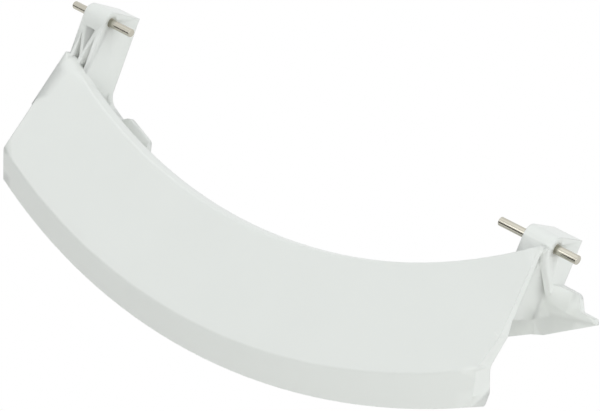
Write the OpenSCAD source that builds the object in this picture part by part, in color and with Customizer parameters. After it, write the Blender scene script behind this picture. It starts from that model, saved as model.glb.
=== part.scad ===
// Washing machine door handle: a dished crescent grip on two pivot arms, with a steel pin in each.
// The origin is midway between the pins, on their common axis.
// X runs along the pins, Z is up when the door is shut, and the grip faces -Y.
// The mouldings are drawn lying on their back, with the pin axis along X and the front facing +Z,
// and turned upright at the end.

/* [Pivot pins] */
// Diameter of each pin
pin_d = 3; // [2:0.5:4]
// Length of each pin
pin_len = 29.5; // [24:0.5:36]
// Distance between the middles of the two pins
pin_spacing = 194; // [190:1:198]
// Chamfer round the ends of a pin
pin_chamfer = 0.25; // [0.1:0.05:0.5]
// Clearance all round a pin in its bore
pin_fit = 0.02; // [0.01:0.01:0.1]
// How much thicker in radius a pin's grip is, where the arm holds it
grip_extra = 0.2; // [0.2:0.05:0.3]
// Width of the shallow recess round a bore's right-hand mouth
mouth_w = 0.5; // [0.4:0.1:1]
// Depth of that recess
mouth_depth = 0.6; // [0.3:0.1:1.5]

/* [Pivot arms] */
// Width of an arm along the pin
arm_w = 10.6; // [9:0.1:12]
// How far the left arm's middle lies outside its pin's middle
left_shift = 0.6; // [0:0.1:1.5]
// How far the right arm's middle lies outside its pin's middle
right_shift = 1.6; // [0.5:0.1:2]
// Thickness of an arm's side walls
arm_wall = 2; // [1.5:0.1:2.5]
// Radius of the arm's rounded head about the pin
head_r = 4; // [3.6:0.05:5]
// How far the head's top falls towards the rear
head_fall = 0.5; // [0:0.1:1]
// Distance from the pin axis back to the rear face
arm_back = 13.3; // [12:0.1:15]
// Depth of solid head below the pin axis
head_depth = 4.1; // [3.5:0.1:5]
// Half of the width of the opening between the legs of the brace, at its top
brace_half = 2.3; // [2:0.05:2.5]
// Depth from the head to where the legs of the brace meet inside
brace_depth = 9; // [7:0.5:11]
// Thickness of the brace's legs, measured across the arm
brace_wall = 1.7; // [1.2:0.1:2]
// Radius of the fillet where an arm runs into the rear rail
root_r = 6; // [4:0.5:9]
// How far in front of the head the right arm's cheek starts
cheek_gap = 0.75; // [0.3:0.05:1.5]
// Angle of the right arm's sloping cheek to the face
cheek_angle = 42.6; // [35:0.1:50]

/* [Crescent face] */
// How far the crescent's centre lies to the left of the middle
arc_left = 11.4; // [8:0.1:14]
// Radius of the crescent's inner edge
inner_r = 184; // [180:0.5:190]
// How far the lowest point of the inner edge lies below the pin axis
edge_drop = 38.6; // [37:0.1:40]
// Width of the face, from the inner edge out to the crease
face_w = 34; // [31:0.5:36]
// Width of the lip, from the crease out to the outer edge
lip_w = 10.9; // [9:0.1:12]
// Front of the inner edge, in front of the pin axis
edge_front = 7.6; // [7:0.1:9]
// Front of the crease, in front of the pin axis
crease_front = 22.3; // [20:0.1:24]
// Front of the outer lip's corner, in front of the pin axis
lip_front = 17; // [15:0.1:19]
// Thickness of the face and of the walls round it
face_wall = 2.5; // [2:0.1:3]
// Depth of the turned-back rim along the inner edge
rim_depth = 4.8; // [4:0.1:5.5]
// Depth of the turned-back outer lip
lip_depth = 8.2; // [6:0.1:9]
// Rounding of the rim
edge_round = 1.3; // [0.5:0.1:2]
// Rounding of the lip's corners
lip_round = 0.7; // [0.4:0.1:1]
// Rounding of the crease
crease_round = 1.5; // [0.5:0.1:3]
// How far the left end stops short of the left arm's outer face
left_step = 1.7; // [1:0.1:2]
// How far the right end starts inside the right arm's outer face, at the inner edge
right_step = 2.6; // [2:0.1:4]
// How far the right end runs past the right arm's outer face, at its widest
right_over = 2.8; // [2:0.1:4]
// How much of the left end's upper corner is cut off
corner_cut = 1.6; // [0.5:0.1:2.5]
// Depth below the pin axis at which the right end is widest
right_wide = 27.5; // [25:0.5:30]
// Depth below the pin axis at which the right end has its waist
right_waist = 37; // [34:0.5:40]
// How much the right end is tucked in at its waist
right_tuck = 1.2; // [0.5:0.1:2]
// Rounding of the right end's bends
right_round = 6; // [3:0.5:8]
// Width of the flat foot of the outer lip
foot_w = 3.7; // [3:0.1:5]
// How far the ribs rise from the foot to the crease
heel_rise = 5.6; // [4:0.1:7]
// How far the ribs' tall part reaches in from the crease
heel_w = 13; // [9:0.5:16]
// Height of the ribs over the rest of the face
rib_low = 0.6; // [0.4:0.1:1.2]
// Length of the soft facet at the left end of the inner edge
facet_len = 13.5; // [10:0.5:16]
// Width of that facet on the face, at the left end
facet_w = 5.4; // [3:0.1:6]
// How far the facet falls back at the left end
facet_fall = 3; // [1:0.1:3.5]
// Number of stiffening ribs behind the face
rib_count = 7; // [3:1:11]
// Thickness of those ribs
rib_wall = 1.5; // [1:0.1:2]
// Angle that the ribs spread over, about the crescent's centre
rib_span = 44; // [30:1:48]
// Angle of the middle rib, to the right of straight down
rib_middle = 3; // [0:1:6]

/* [Rear rail] */
// How far the rail's inner edge lies outside the crescent's
rail_step = 7.5; // [6:0.1:9]
// Width of the rail, up to its thin lip
rail_w = 12; // [10:0.1:13]
// Width of the thin lip
rail_lip_w = 4.2; // [3:0.1:5]
// Thickness of the thin lip at its root
rail_lip_wall = 1.5; // [1:0.1:2]
// Thickness of the rail and of the arms' rear walls
rail_wall = 2.5; // [2:0.1:3]
// Thickness of the web between the face and the rail
web_wall = 2.5; // [2:0.1:3]
// Height of the raised tab above the rail's inner edge
tab_height = 3.2; // [2:0.1:4]
// Angle of the tab's middle, to the left of straight down
tab_angle = 19.3; // [16:0.1:21]
// Half of the angle that the tab's top takes up
tab_half = 1.9; // [1.5:0.1:3]
// Further angle that each of the tab's sloping ends takes up
tab_slope = 0.9; // [0.5:0.1:1.5]
// Rounding of the tab's corners
tab_round = 1.6; // [0.5:0.1:2]
// Top of the ear beside the right arm, below the pin axis
ear_top = 11.4; // [10:0.1:13]
// Reach of the ear past the right arm's outer face
ear_reach = 16; // [14:0.1:18]
// Drop from the ear's top to its lower shoulder
ear_step = 4.5; // [3.5:0.1:5.5]
// Length of the ear from the end of its top to its tip
ear_slope_w = 8.8; // [7:0.1:10]
// Length of the ear's lower shoulder
ear_shoulder_w = 6.1; // [5:0.1:6.5]
// Depth of the ear's tip below its top
ear_nose = 6; // [5.5:0.1:6.5]
// Depth of the ear's thick part below its top, beside the right arm
ear_depth = 10.2; // [9:0.1:11]
// Depth of the ear's lip below its top, beside the right arm
ear_lip_depth = 17; // [15:0.5:19]
// Radius of the fillet between the right arm and the ear
ear_fillet = 6.5; // [4:0.1:7.5]

/* [Hidden] */
$fn = 96;
moulding = "#f2f3f0";
steel = "#b9b6b0";
// How far a cutting shape runs past what it cuts
over = 1;
// How far a fillet's circle cuts into the faces it joins, so that it ends in a clean edge
bite = 0.05;
pin_x = pin_spacing / 2;
grip_r = pin_d / 2 + grip_extra;
bore_r = grip_r + pin_fit;
// The left faces of the two arms, and the outermost face of each
left_arm = -pin_x - left_shift - arm_w / 2;
right_arm = pin_x + right_shift - arm_w / 2;
right_face = right_arm + arm_w;
arc_up = inner_r - edge_drop;
crease_r = inner_r + face_w;
outer_r = crease_r + lip_w;
left_end = left_arm + left_step;
right_top = right_face - right_step;
right_end = right_face + right_over;
// The inner edge's height at the left end, and the slope of the cut across the corner there
corner_y = arc_up - sqrt(pow(inner_r, 2) - pow(left_end + arc_left, 2));
corner_slope = 45 - asin(-(left_end + arc_left) / inner_r) / 2;
rail_inner_r = inner_r + rail_step;
rail_outer_r = rail_inner_r + rail_w;
rail_lip_r = rail_outer_r + rail_lip_w;
ear_tip = right_face + ear_reach;
// The ear's upper edge, from the end of its top to the tip
ear_edge = [
    [ear_tip - ear_slope_w, -ear_top, 2.5],
    [ear_tip - ear_shoulder_w, -ear_top - ear_step, 0.5],
    [ear_tip - over, -ear_top - ear_step, 1]
];
rail_front = rail_wall - arm_back;
face_slope = (crease_front - edge_front) / (crease_r - inner_r);
lip_slope = (crease_front - lip_front) / (outer_r - crease_r);
// The skin's thickness measured straight back, behind the face and behind the lip
face_skin = face_wall * sqrt(1 + face_slope * face_slope);
lip_skin = face_wall * sqrt(1 + lip_slope * lip_slope);
rim_back = edge_front - rim_depth;
lip_back = lip_front - lip_depth;
// How far the web and the arms run into the skin
web_sunk = 0.5;
arm_sunk = 1;
// Where the right arm's cheek starts in front of the pin axis, and its fall for each millimetre back
cheek_start = head_r + cheek_gap;
cheek_slope = tan(cheek_angle);
// Well below the lowest point of the crescent
deep = outer_r - arc_up + 20;

// Front and back of the face at a radius
function face_z(r) = edge_front + (r - inner_r) * face_slope;
function skin_z(r) = face_z(r) - face_skin;
function lip_z(r) = crease_front - (r - crease_r) * lip_slope;

// A place at a radius and an angle to the left of straight down from the crescent's centre
function polar(r, a) = [-arc_left - r * sin(a), arc_up - r * cos(a)];

// The points of an arc that rounds the corner p between its neighbours a and b
function rounded(a, p, b, r, n = 6) =
    let (u = (a - p) / norm(a - p), v = (b - p) / norm(b - p),
         half = acos(u * v) / 2, reach = r / tan(half),
         c = p + (u + v) / norm(u + v) * r / sin(half),
         s = p + u * reach - c, e = p + v * reach - c,
         turn = acos(min(1, max(-1, s * e / (r * r)))))
    [for (i = [0:n]) c + s * sin(turn * (1 - i / n)) / sin(turn) + e * sin(turn * i / n) / sin(turn)];

// An outline with a rounding at each corner: each entry is [across, up, radius]
function outline(corners) =
    [for (i = [0:len(corners) - 1])
        let (n = len(corners), q = corners[i], p = [q[0], q[1]],
             a = corners[(i + n - 1) % n], b = corners[(i + 1) % n])
        each q[2] == 0 ? [p] : rounded([a[0], a[1]], p, [b[0], b[1]], q[2])];

// Turns a radial section about the crescent's centre
module turned(points) {
    translate([-arc_left, arc_up, 0])
        rotate_extrude($fn = 360)
            polygon(points);
}

// Extrudes a side view, drawn as [front, up], from x along the pins for a width
module side_plate(x, width) {
    translate([x + width, 0, 0])
        rotate([0, -90, 0])
            linear_extrude(width)
                children();
}

// The whole section of the crescent, closed at the back as its ends and ribs are
solid_section = outline([
    [inner_r, rim_back, 0],
    [inner_r, edge_front, edge_round],
    [crease_r, crease_front, crease_round],
    [outer_r, lip_front, lip_round],
    [outer_r, lip_back, lip_round],
    [outer_r - foot_w, lip_back, 1],
    [crease_r, lip_back + heel_rise, 3],
    [crease_r - heel_w, skin_z(crease_r - heel_w) - rib_low, 2],
    [inner_r + face_wall, skin_z(inner_r + face_wall), 0],
    [inner_r + face_wall, rim_back, 0]
]);

// The space behind the skin, between rim and lip
hollow_section =
    let (fold = crease_r + (face_skin - lip_skin) / (face_slope + lip_slope))
    [
        [inner_r + face_wall, rim_back - over],
        [inner_r + face_wall, skin_z(inner_r + face_wall)],
        [fold, skin_z(fold)],
        [outer_r - face_wall, lip_z(outer_r - face_wall) - lip_skin],
        [outer_r - face_wall, lip_back - over]
    ];

// Plan of the crescent between its two cut ends
module crescent_plan(inset = 0) {
    top = over + head_r;
    polygon(outline([
        [left_end + inset, corner_y - corner_cut, 0],
        [left_end + inset + (top - corner_y + corner_cut) / tan(corner_slope), top, 0],
        [right_top - inset, top, 0],
        [right_end - inset, -right_wide, right_round],
        [right_end - right_tuck - inset, -right_waist, right_round],
        [right_end - inset, -deep, 0],
        [left_end + inset, -deep, 0]
    ]));
}

module crescent() {
    difference() {
        intersection() {
            turned(solid_section);
            translate([0, 0, -over])
                linear_extrude(crease_front + 2 * over)
                    crescent_plan();
        }
        facet();
    }
}

// A place on the front of the face, or a distance behind it, at a radius and a distance along the pins
function on_face(x, r, behind = 0) =
    [x, arc_up - sqrt(r * r - pow(x + arc_left, 2)), face_z(r) - behind];

// What is cut away in front of the facet: a slab lying on the plane through three places on the face
module facet() {
    start = on_face(left_end + facet_len, inner_r);
    crease = on_face(left_end, inner_r + facet_w);
    fall = on_face(left_end, inner_r, facet_fall);
    normal = cross(fall - start, crease - start);
    ahead = normal[2] > 0 ? normal / norm(normal) : -normal / norm(normal);
    size = 3 * facet_len;
    translate(start)
        rotate([0, acos(ahead[2]), atan2(ahead[1], ahead[0])])
            translate([-size, -size, 0])
                cube([2 * size, 2 * size, facet_len]);
}

// What is taken out behind the skin, which leaves the end walls and the ribs
module hollow() {
    rib_step = rib_span / (rib_count - 1);
    difference() {
        intersection() {
            turned(hollow_section);
            linear_extrude(crease_front)
                crescent_plan(face_wall);
        }
        for (i = [0:rib_count - 1])
            translate([-arc_left, arc_up, 0])
                rotate([0, 0, rib_middle + rib_span / 2 - rib_step * i])
                    translate([-rib_wall / 2, -outer_r, 0])
                        cube([rib_wall, outer_r, crease_front]);
    }
}

// Side view of an arm, from its head down behind the face
module arm_side() {
    circle(head_r);
    polygon([
        [0, head_r],
        [-arm_back, head_r - head_fall],
        [-arm_back, -deep],
        [crease_front, -deep],
        [crease_front, 0],
        [0, 0]
    ]);
}

// Everything behind the middle of the skin, which the arms and the web reach up to
module behind_skin(r) {
    turned([
        [0, -arm_back],
        [0, head_r],
        [inner_r + 1, head_r],
        [inner_r + 1, skin_z(inner_r + 1) + arm_sunk],
        [r, skin_z(r) + arm_sunk],
        [r, -arm_back]
    ]);
}

// An arm with its left face at x: a head on two side walls, a rear wall and a V-shaped brace
module arm(x) {
    middle = x + arm_w / 2;
    intersection() {
        behind_skin(rail_outer_r);
        union() {
            difference() {
                side_plate(x, arm_w)
                    arm_side();
                translate([x + arm_wall, -deep - over, rail_front])
                    cube([arm_w - 2 * arm_wall, deep + over - head_depth, arm_back + crease_front]);
            }
            translate([middle, -head_depth, rail_front - over])
                linear_extrude(head_r - rail_front + over)
                    brace();
        }
    }
}

// Plan of the brace, hanging from the head
module brace() {
    polygon([
        [-brace_half - brace_wall, over],
        [-brace_half, over],
        [-brace_half, 0],
        [0, -brace_depth],
        [brace_half, 0],
        [brace_half, over],
        [brace_half + brace_wall, over],
        [brace_half + brace_wall, 0],
        [brace_wall / 2, -brace_depth - brace_wall],
        [brace_wall / 2, -deep],
        [-brace_wall / 2, -deep],
        [-brace_wall / 2, -brace_depth - brace_wall],
        [-brace_half - brace_wall, 0]
    ]);
}

// What the cheek's slope leaves of the right arm's outer wall, as a side view
module cheek_side() {
    polygon([
        [cheek_start, -head_depth],
        [cheek_start + over, over],
        [crease_front + over, over],
        [crease_front + over, -deep],
        [cheek_start - (deep - head_depth) / cheek_slope, -deep]
    ]);
}

// Plan of the space for the rail and the ear, below the ear's upper edge
module rail_plan() {
    polygon(outline(concat(
        [[left_arm, 0, 0], [right_face, 0, 0], [right_face, -ear_top, 0]],
        ear_edge,
        [[ear_tip - over, -deep, 0], [left_arm, -deep, 0]])));
}

// The rail proper, which the ear carries on past its outer edge
module rail() {
    translate([0, 0, -arm_back])
        linear_extrude(rail_wall) {
            difference() {
                intersection() {
                    rail_plan();
                    translate([-arc_left, arc_up])
                        circle(rail_outer_r, $fn = 360);
                }
                translate([-arc_left, arc_up])
                    circle(rail_inner_r, $fn = 360);
            }
            difference() {
                polygon(outline(concat(
                    [[right_face - arm_wall, -ear_top, 0]],
                    ear_edge,
                    [[ear_tip, -ear_top - ear_nose, 0.3],
                     [right_face + over, -ear_top - ear_depth, 0],
                     [right_face - arm_wall, -ear_top - ear_depth, 0]])));
                translate([-arc_left, arc_up])
                    circle(rail_inner_r, $fn = 360);
            }
        }
}

// The thin lip along the rail's outer edge, which runs out at the ear's tip
module rail_lip() {
    intersection() {
        turned([
            [rail_outer_r - over, -arm_back],
            [rail_outer_r - over, -arm_back + rail_lip_wall],
            [rail_outer_r, -arm_back + rail_lip_wall],
            [rail_lip_r + 2, -arm_back + rail_lip_wall / 2],
            [rail_lip_r + 2, -arm_back]
        ]);
        translate([0, 0, -arm_back - over])
            linear_extrude(rail_wall + 2 * over) {
                intersection() {
                    rail_plan();
                    translate([-arc_left, arc_up])
                        circle(rail_lip_r, $fn = 360);
                }
                polygon(outline([
                    [right_arm, -ear_top - ear_depth + over, 0],
                    [ear_tip - ear_shoulder_w, -ear_top - ear_step, 0],
                    [ear_tip - over, -ear_top - ear_step, 0],
                    [ear_tip, -ear_top - ear_nose, 0.5],
                    [right_face, -ear_top - ear_lip_depth, 0],
                    [right_arm, -ear_top - ear_lip_depth - rail_lip_w, 0]
                ]));
            }
    }
}

// The web that stands on the rail's inner edge and carries the face, between the arms
module web() {
    intersection() {
        turned([
            [rail_inner_r, -arm_back],
            [rail_inner_r, skin_z(rail_inner_r) + web_sunk],
            [rail_inner_r + web_wall, skin_z(rail_inner_r + web_wall) + web_sunk],
            [rail_inner_r + web_wall, -arm_back]
        ]);
        translate([left_arm + arm_w - arm_wall / 2, -deep, -arm_back])
            cube([right_arm - left_arm - arm_w + arm_wall, deep, arm_back + crease_front]);
    }
}

// The raised tab on the rail's inner edge
module tab() {
    top_r = rail_inner_r - tab_height;
    translate([0, 0, -arm_back])
        linear_extrude(rail_wall)
            polygon(outline([
                concat(polar(rail_inner_r + over, tab_angle - tab_half - tab_slope), 0),
                concat(polar(top_r, tab_angle - tab_half), tab_round),
                concat(polar(top_r, tab_angle + tab_half), tab_round),
                concat(polar(rail_inner_r + over, tab_angle + tab_half + tab_slope), 0)
            ]));
}

// The fillet in the corner between an arm's inner face and the rail: side is -1 at the left, 1 at the right
module root_fillet(face_x, side) {
    centre_x = face_x - side * (root_r - bite);
    centre_r = rail_inner_r - root_r + bite;
    centre_y = arc_up - sqrt(pow(centre_r, 2) - pow(centre_x + arc_left, 2));
    foot = [-arc_left, arc_up] + ([centre_x, centre_y] - [-arc_left, arc_up]) * (rail_inner_r + over) / centre_r;
    translate([0, 0, -arm_back])
        linear_extrude(rail_wall)
            difference() {
                intersection() {
                    polygon([
                        [face_x + side * over, centre_y],
                        [centre_x, centre_y],
                        foot,
                        [face_x + side * over, foot[1]]
                    ]);
                    translate([-arc_left, arc_up])
                        circle(rail_inner_r + over, $fn = 360);
                }
                translate([centre_x, centre_y])
                    circle(root_r);
            }
}

// The fillet that runs from the right arm's outer wall out onto the ear
module ear_root() {
    intersection() {
        translate([right_face - over, -deep, rail_front - over])
            difference() {
                cube([ear_fillet + over, deep - ear_top, ear_fillet + over]);
                translate([ear_fillet + over - bite, deep, ear_fillet + over - bite])
                    rotate([90, 0, 0])
                        cylinder(r = ear_fillet, h = deep + over);
            }
        turned([
            [rail_inner_r - 5, -arm_back],
            [rail_inner_r - 5, crease_front],
            [rail_outer_r, crease_front],
            [rail_outer_r, -arm_back]
        ]);
    }
}

// A pin's bore with the shallow recess at its right-hand mouth
module bore(x) {
    translate([x - over, 0, 0])
        rotate([0, 90, 0])
            cylinder(r = bore_r, h = arm_w + 2 * over);
    translate([x + arm_w - mouth_depth, 0, 0])
        rotate([0, 90, 0])
            cylinder(r = bore_r + mouth_w, h = mouth_depth + over);
}

module handle() {
    color(moulding)
        rotate([90, 0, 0])
            difference() {
                union() {
                    difference() {
                        crescent();
                        hollow();
                    }
                    arm(left_arm);
                    difference() {
                        union() {
                            arm(right_arm);
                            ear_root();
                        }
                        side_plate(right_face - arm_wall, arm_wall + ear_fillet + over)
                            cheek_side();
                    }
                    rail();
                    rail_lip();
                    web();
                    tab();
                    root_fillet(left_arm + arm_w, -1);
                    root_fillet(right_arm, 1);
                }
                bore(left_arm);
                bore(right_arm);
            }
}

// A pin from its left end at x, chamfered at both ends. Its grip fills the bore of the arm at arm_x,
// up to the floor of the recess.
module pin(x, arm_x) {
    grip_from = arm_x - x;
    grip_to = grip_from + arm_w - mouth_depth;
    pin_r = pin_d / 2;
    color(steel)
        translate([x, 0, 0])
            rotate([0, 90, 0])
                rotate_extrude()
                    polygon([
                        [0, 0],
                        [pin_r - pin_chamfer, 0],
                        [pin_r, pin_chamfer],
                        [pin_r, grip_from],
                        [grip_r, grip_from],
                        [grip_r, grip_to],
                        [pin_r, grip_to],
                        [pin_r, pin_len - pin_chamfer],
                        [pin_r - pin_chamfer, pin_len],
                        [0, pin_len]
                    ]);
}

module left_pin() {
    pin(-pin_x - pin_len / 2, left_arm);
}

module right_pin() {
    pin(pin_x - pin_len / 2, right_arm);
}

handle();
left_pin();
right_pin();
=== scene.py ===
import math

import bmesh
import bpy
from mathutils import Matrix, Vector


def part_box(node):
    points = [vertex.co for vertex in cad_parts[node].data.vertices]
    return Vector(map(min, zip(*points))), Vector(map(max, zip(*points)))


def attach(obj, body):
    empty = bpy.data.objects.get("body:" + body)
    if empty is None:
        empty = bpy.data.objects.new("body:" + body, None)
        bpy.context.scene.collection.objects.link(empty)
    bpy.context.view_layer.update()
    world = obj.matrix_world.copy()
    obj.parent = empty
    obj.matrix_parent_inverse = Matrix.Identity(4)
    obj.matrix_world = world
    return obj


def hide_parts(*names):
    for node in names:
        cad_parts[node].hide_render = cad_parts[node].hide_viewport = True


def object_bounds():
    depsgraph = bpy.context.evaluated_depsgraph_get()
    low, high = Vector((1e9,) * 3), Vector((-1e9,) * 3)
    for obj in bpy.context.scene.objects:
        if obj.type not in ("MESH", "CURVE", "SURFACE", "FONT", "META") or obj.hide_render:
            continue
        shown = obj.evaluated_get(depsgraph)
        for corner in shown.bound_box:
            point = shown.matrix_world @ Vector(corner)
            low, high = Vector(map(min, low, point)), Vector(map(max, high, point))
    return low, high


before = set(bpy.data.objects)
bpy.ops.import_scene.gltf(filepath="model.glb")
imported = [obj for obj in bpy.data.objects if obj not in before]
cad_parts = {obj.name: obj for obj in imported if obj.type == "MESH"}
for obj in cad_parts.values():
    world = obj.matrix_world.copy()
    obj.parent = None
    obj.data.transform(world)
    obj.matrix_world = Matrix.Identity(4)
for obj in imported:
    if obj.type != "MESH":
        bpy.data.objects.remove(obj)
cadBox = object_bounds()
mm = 0.001
print("frame loaded")


def linear(hexColour):
    # sRGB hex to the linear colour that Blender's sockets hold
    channels = [int(hexColour[i:i + 2], 16) / 255 for i in (1, 3, 5)]
    straightened = [
        c / 12.92 if c <= 0.04045 else ((c + 0.055) / 1.055) ** 2.4
        for c in channels
    ]
    return (*straightened, 1)


def addNode(tree, kind, settings=None, values=None, links=None):
    # one node with its settings, its socket values and the links into it
    node = tree.nodes.new(kind)
    for name, value in (settings or {}).items():
        setattr(node, name, value)
    for name, value in (values or {}).items():
        node.inputs[name].default_value = value
    for name, socket in (links or {}).items():
        tree.links.new(socket, node.inputs[name])
    return node


def newMaterial(name):
    material = bpy.data.materials.new(name)
    material.use_nodes = True
    material.node_tree.nodes.clear()
    return material, material.node_tree


def closeMaterial(tree, shader):
    addNode(tree, "ShaderNodeOutputMaterial", links={"Surface": shader.outputs[0]})


# The camera stands to the right of the handle and a little above it, rolled as the
# photograph was taken.
cameraView = {
    "place": (0.3733, -0.5334, 0.1028),
    "right": (0.734, 0.583, 0.349),
    "up": (-0.397, -0.049, 0.916),
    "lens": 120.0,
    "sensor": 36.0,
    "nearest": 0.01,
    "farthest": 20.0,
}


def makeCamera(view):
    data = bpy.data.cameras.new("camera")
    data.lens = view["lens"]
    data.sensor_width = view["sensor"]
    data.sensor_fit = "HORIZONTAL"
    data.clip_start = view["nearest"]
    data.clip_end = view["farthest"]
    camera = bpy.data.objects.new("camera", data)
    bpy.context.scene.collection.objects.link(camera)
    right = Vector(view["right"]).normalized()
    back = right.cross(Vector(view["up"])).normalized()
    up = back.cross(right)
    turn = Matrix((right, up, back)).transposed().to_4x4()
    camera.matrix_world = Matrix.Translation(view["place"]) @ turn
    bpy.context.scene.camera = camera


makeCamera(cameraView)
print("camera placed")


# Injection-moulded ABS: off-white and semi-gloss, with the faint waviness of a moulded skin,
# soft edges, and a grain from the mould so fine that it only softens the highlights. The
# grain is drawn coarser than the real one, which is too fine to show.
mouldedAbs = {
    "white": "#EEF0EC",
    "whiteDeeper": "#EBEDE9",
    "roughness": 0.3,
    "ior": 1.54,
    "bumpStrength": 1.0,
    "grain": 0.4 * mm,
    "grainDetail": 1.0,
    "grainHeight": 0.004 * mm,
    "waviness": 30 * mm,
    "waveDetail": 2.0,
    "waveHeight": 0.05 * mm,
    "edgeRadius": 0.5 * mm,
    "edgeSamples": 8,
}


def makeMouldedAbs(look):
    material, tree = newMaterial("injection moulded white ABS")
    coords = addNode(tree, "ShaderNodeTexCoord")
    broad = addNode(
        tree, "ShaderNodeTexNoise",
        values={"Scale": 1 / look["waviness"], "Detail": look["waveDetail"]},
        links={"Vector": coords.outputs["Object"]},
    )
    fine = addNode(
        tree, "ShaderNodeTexNoise",
        values={"Scale": 1 / look["grain"], "Detail": look["grainDetail"]},
        links={"Vector": coords.outputs["Object"]},
    )
    colour = addNode(
        tree, "ShaderNodeMix", {"data_type": "RGBA"},
        links={"Factor": broad.outputs["Fac"]},
    )
    colour.inputs["A"].default_value = linear(look["white"])
    colour.inputs["B"].default_value = linear(look["whiteDeeper"])
    edges = addNode(
        tree, "ShaderNodeBevel", {"samples": look["edgeSamples"]},
        values={"Radius": look["edgeRadius"]},
    )
    wave = addNode(
        tree, "ShaderNodeBump",
        values={"Strength": look["bumpStrength"], "Distance": look["waveHeight"]},
        links={"Height": broad.outputs["Fac"], "Normal": edges.outputs["Normal"]},
    )
    grain = addNode(
        tree, "ShaderNodeBump",
        values={"Strength": look["bumpStrength"], "Distance": look["grainHeight"]},
        links={"Height": fine.outputs["Fac"], "Normal": wave.outputs["Normal"]},
    )
    shader = addNode(
        tree, "ShaderNodeBsdfPrincipled",
        values={"Roughness": look["roughness"], "IOR": look["ior"]},
        links={"Base Color": colour.outputs["Result"], "Normal": grain.outputs["Normal"]},
    )
    closeMaterial(tree, shader)
    return material


# Bright steel bar, drawn and ground: fine marks run along it and stretch the highlight
# across. They are drawn coarser than real ones, which are too fine to show.
groundSteel = {
    "steel": "#CFCCC0",
    "steelDark": "#B4B0A3",
    "roughness": 0.2,
    "bumpStrength": 1.0,
    "markDetail": 3.0,
    "markWidth": 0.12 * mm,
    "markLength": 9 * mm,
    "markHeight": 0.006 * mm,
}


def makeGroundSteel(look):
    material, tree = newMaterial("drawn and ground bright steel")
    coords = addNode(tree, "ShaderNodeTexCoord")
    across = 1 / look["markWidth"]
    stretched = addNode(
        tree, "ShaderNodeMapping",
        values={"Scale": (1 / look["markLength"], across, across)},
        links={"Vector": coords.outputs["Object"]},
    )
    marks = addNode(
        tree, "ShaderNodeTexNoise",
        values={"Scale": 1.0, "Detail": look["markDetail"]},
        links={"Vector": stretched.outputs["Vector"]},
    )
    colour = addNode(
        tree, "ShaderNodeMix", {"data_type": "RGBA"},
        links={"Factor": marks.outputs["Fac"]},
    )
    colour.inputs["A"].default_value = linear(look["steelDark"])
    colour.inputs["B"].default_value = linear(look["steel"])
    bump = addNode(
        tree, "ShaderNodeBump",
        values={"Strength": look["bumpStrength"], "Distance": look["markHeight"]},
        links={"Height": marks.outputs["Fac"]},
    )
    shader = addNode(
        tree, "ShaderNodeBsdfPrincipled",
        values={"Metallic": 1.0, "Roughness": look["roughness"]},
        links={"Base Color": colour.outputs["Result"], "Normal": bump.outputs["Normal"]},
    )
    closeMaterial(tree, shader)
    return material


absMaterial = makeMouldedAbs(mouldedAbs)
steelMaterial = makeGroundSteel(groundSteel)
print("materials made")


# The moulding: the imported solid, smooth over its fillets. The material rounds the edges
# that a mould leaves soft, because the smallest of them are too short for real bevels.
handleSkin = {
    "sharpFrom": math.radians(30),
    "mergeWithin": 0.002 * mm,
}


def makeMoulding(name, node, skin):
    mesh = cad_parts[node].data.copy()
    mesh.name = name
    work = bmesh.new()
    work.from_mesh(mesh)
    bmesh.ops.remove_doubles(work, verts=work.verts, dist=skin["mergeWithin"])
    work.to_mesh(mesh)
    work.free()
    mesh.shade_smooth()
    mesh.set_sharp_from_angle(angle=skin["sharpFrom"])
    mesh.materials.clear()
    mesh.materials.append(absMaterial)
    piece = bpy.data.objects.new(name, mesh)
    bpy.context.scene.collection.objects.link(piece)
    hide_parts(node)
    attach(piece, "root")
    return piece


moulding = makeMoulding("handleMoulding", "handle", handleSkin)
print("moulding dressed:", len(moulding.data.polygons), "faces")


# A pin is turned from bar: slightly dished ends with rounded rims, and a thicker grip
# where its arm hides it.
pinShape = {
    "radius": 1.5 * mm,
    "rimRound": 0.3 * mm,
    "rimSteps": 6,
    "sides": 64,
    "endDish": 0.05 * mm,
    "endFlat": 0.6,
    "clearOfBar": 0.1 * mm,
    "sharpFrom": math.radians(50),
}


def gripEnds(node, middle, shape):
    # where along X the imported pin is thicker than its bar
    corners = [corner.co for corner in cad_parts[node].data.vertices]
    reach = shape["radius"] + shape["clearOfBar"]
    grip = [c.x for c in corners if math.hypot(c.y - middle.y, c.z - middle.z) > reach]
    return min(grip) - middle.x, max(grip) - middle.x


def pinProfile(half, gripRadius, grip, shape):
    # half of the outline, as (along, out) from the middle of the right end to that of the left
    radius = shape["radius"]
    rimRound = shape["rimRound"]
    turns = [math.pi / 2 * i / shape["rimSteps"] for i in range(shape["rimSteps"] + 1)]
    rim = [
        (half - rimRound * (1 - math.cos(turn)), radius - rimRound * (1 - math.sin(turn)))
        for turn in turns
    ]
    rightEnd = [(half - shape["endDish"], 0.0), (half, radius * shape["endFlat"])] + rim
    leftEnd = [(-along, out) for along, out in reversed(rightEnd)]
    gripLeft, gripRight = grip
    thick = [(gripRight, radius), (gripRight, gripRadius), (gripLeft, gripRadius), (gripLeft, radius)]
    return rightEnd + thick + leftEnd


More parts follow.
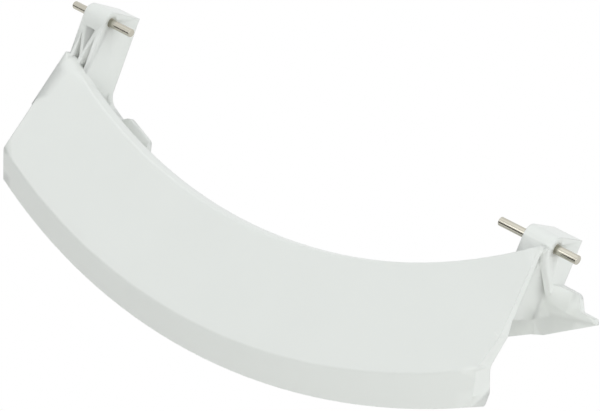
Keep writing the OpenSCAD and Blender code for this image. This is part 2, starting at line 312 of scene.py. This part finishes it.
def turnedMesh(name, profile, middle, shape):
    # the profile turned about the X line through middle, closed at both ends
    sides = shape["sides"]
    work = bmesh.new()
    rings = []
    for along, out in profile:
        x = middle.x + along
        if out == 0:
            rings.append([work.verts.new((x, middle.y, middle.z))])
            continue
        turns = [2 * math.pi * i / sides for i in range(sides)]
        rings.append([
            work.verts.new((x, middle.y + out * math.cos(turn), middle.z + out * math.sin(turn)))
            for turn in turns
        ])
    for here, there in zip(rings, rings[1:]):
        for i in range(sides):
            j = (i + 1) % sides
            if len(here) == 1:
                work.faces.new((here[0], there[i], there[j]))
            elif len(there) == 1:
                work.faces.new((here[i], there[0], here[j]))
            else:
                work.faces.new((here[i], there[i], there[j], here[j]))
    bmesh.ops.recalc_face_normals(work, faces=work.faces)
    mesh = bpy.data.meshes.new(name)
    work.to_mesh(mesh)
    work.free()
    mesh.shade_smooth()
    mesh.set_sharp_from_angle(angle=shape["sharpFrom"])
    return mesh


def makePin(name, node, shape):
    low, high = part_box(node)
    middle = (low + high) / 2
    half = (high.x - low.x) / 2
    gripRadius = (high.z - low.z) / 2
    profile = pinProfile(half, gripRadius, gripEnds(node, middle, shape), shape)
    mesh = turnedMesh(name, profile, middle, shape)
    mesh.materials.append(steelMaterial)
    pin = bpy.data.objects.new(name, mesh)
    bpy.context.scene.collection.objects.link(pin)
    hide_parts(node)
    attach(pin, "root")


makePin("leftPivotPin", "left_pin", pinShape)
makePin("rightPivotPin", "right_pin", pinShape)
print("pins made")


# A white sweep under and behind the handle. It shows as plain white to the camera and in
# reflections, and as a pale floor to everything else.
studio = {
    "floorBelow": 0.30,
    "halfWidth": 4.0,
    "floorColour": "#F2F2F0",
    "floorRoughness": 0.9,
    "roomColour": "#EEF1F2",
    "roomStrength": 0.85,
}


def seenOrReflected(tree):
    # 1 for rays from the camera, and for those that metal or glass sends on
    paths = addNode(tree, "ShaderNodeLightPath")
    seen = addNode(
        tree, "ShaderNodeMath", {"operation": "MAXIMUM"},
        links={0: paths.outputs["Is Camera Ray"], 1: paths.outputs["Is Glossy Ray"]},
    )
    return addNode(
        tree, "ShaderNodeMath", {"operation": "MAXIMUM"},
        links={0: seen.outputs[0], 1: paths.outputs["Is Transmission Ray"]},
    )


def makeSweepMaterial(look):
    material, tree = newMaterial("white paper sweep")
    anySeen = seenOrReflected(tree)
    paper = addNode(
        tree, "ShaderNodeBsdfDiffuse",
        values={"Color": linear(look["floorColour"]), "Roughness": look["floorRoughness"]},
    )
    white = addNode(tree, "ShaderNodeEmission", values={"Color": (1, 1, 1, 1), "Strength": 1.0})
    mixed = addNode(
        tree, "ShaderNodeMixShader",
        links={0: anySeen.outputs[0], 1: paper.outputs[0], 2: white.outputs[0]},
    )
    closeMaterial(tree, mixed)
    return material


def makeFloor(look):
    side = look["halfWidth"]
    height = cadBox[0][2] - look["floorBelow"]
    mesh = bpy.data.meshes.new("floor")
    corners = [(-side, -side), (side, -side), (side, side), (-side, side)]
    mesh.from_pydata([(x, y, height) for x, y in corners], [], [(0, 1, 2, 3)])
    mesh.materials.append(makeSweepMaterial(look))
    floor = bpy.data.objects.new("floor", mesh)
    bpy.context.scene.collection.objects.link(floor)


def makeWorld(look):
    world = bpy.data.worlds.new("studio")
    bpy.context.scene.world = world
    world.use_nodes = True
    tree = world.node_tree
    tree.nodes.clear()
    anySeen = seenOrReflected(tree)
    room = addNode(
        tree, "ShaderNodeBackground",
        values={"Color": linear(look["roomColour"]), "Strength": look["roomStrength"]},
    )
    white = addNode(
        tree, "ShaderNodeBackground", values={"Color": (1, 1, 1, 1), "Strength": 1.0},
    )
    mixed = addNode(
        tree, "ShaderNodeMixShader",
        links={0: anySeen.outputs[0], 1: room.outputs[0], 2: white.outputs[0]},
    )
    addNode(tree, "ShaderNodeOutputWorld", links={"Surface": mixed.outputs[0]})


# A dark card low in front of the handle: the pins show it as a dark streak along them.
# It stands outside this camera's picture, but not outside one that is taken from behind.
darkCard = {
    "middle": (-0.27, -0.36, -0.205),
    "length": 0.75,
    "height": 0.2,
    "colour": "#1E1D1B",
}


def makeDarkCard(card):
    middle = Vector(card["middle"])
    along = Vector((card["length"] / 2, 0, 0))
    rise = Vector((0, middle.z, -middle.y)).normalized() * card["height"] / 2
    mesh = bpy.data.meshes.new("darkCard")
    lower, upper = middle - rise, middle + rise
    corners = [lower - along, lower + along, upper + along, upper - along]
    mesh.from_pydata(corners, [], [(0, 1, 2, 3)])
    material, tree = newMaterial("black card")
    closeMaterial(tree, addNode(
        tree, "ShaderNodeBsdfDiffuse", values={"Color": linear(card["colour"])},
    ))
    mesh.materials.append(material)
    piece = bpy.data.objects.new("darkCard", mesh)
    bpy.context.scene.collection.objects.link(piece)


lamps = [
    {"name": "overheadSoftbox", "place": (-0.2, -0.5, 1.2), "size": 1.4, "power": 2.0},
    {"name": "frontSoftbox", "place": (0.62, -0.82, 0.02), "size": 0.5, "power": 1.9},
    {"name": "rightSoftbox", "place": (1.4, 0.2, 0.4), "size": 1.0, "power": 1.6},
    {"name": "leftStrip", "place": (-0.42, -1.0, 0.2), "size": 0.35, "power": 0.6},
]


def makeLamp(lamp):
    data = bpy.data.lights.new(lamp["name"], "AREA")
    data.shape = "SQUARE"
    data.size = lamp["size"]
    data.energy = lamp["power"]
    light = bpy.data.objects.new(lamp["name"], data)
    bpy.context.scene.collection.objects.link(light)
    place = Vector(lamp["place"])
    aim = (-place).to_track_quat("-Z", "Y").to_matrix().to_4x4()
    light.matrix_world = Matrix.Translation(place) @ aim


makeFloor(studio)
makeWorld(studio)
makeDarkCard(darkCard)
for lamp in lamps:
    makeLamp(lamp)
bpy.context.scene.view_settings.view_transform = "Standard"
print("studio lit")
